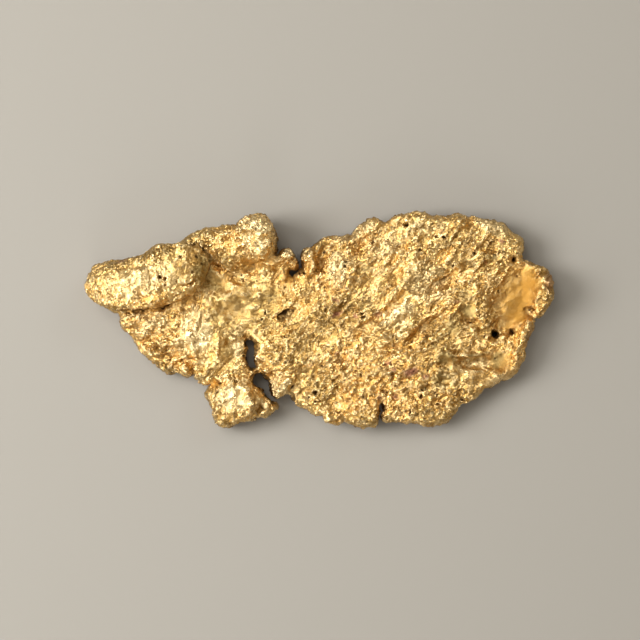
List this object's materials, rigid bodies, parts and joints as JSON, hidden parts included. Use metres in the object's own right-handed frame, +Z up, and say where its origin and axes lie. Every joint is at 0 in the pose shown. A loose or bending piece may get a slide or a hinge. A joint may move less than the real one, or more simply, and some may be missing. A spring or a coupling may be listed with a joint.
{
  "type": "gold nugget",
  "caption": "Flat, ragged gold nugget with a rolled edge, a torn crack and a pitted, crumpled surface, to lie on a surface.",
  "frame": {"origin": "on the surface the nugget lies on, under the middle of its box", "axes": "+X along the nugget, from the rolled edge towards the broad plate; +Y across it, towards the side that holds the curled lobe; +Z up, out of the upper face"},
  "size_m": [0.0588, 0.027, 0.0075],
  "materials": {
    "native_gold": "satin native gold, crumpled and pitted, with brown and olive stains in the hollows"
  },
  "bodies": {
    "root": {"nugget": "native_gold"}
  },
  "joints": []
}
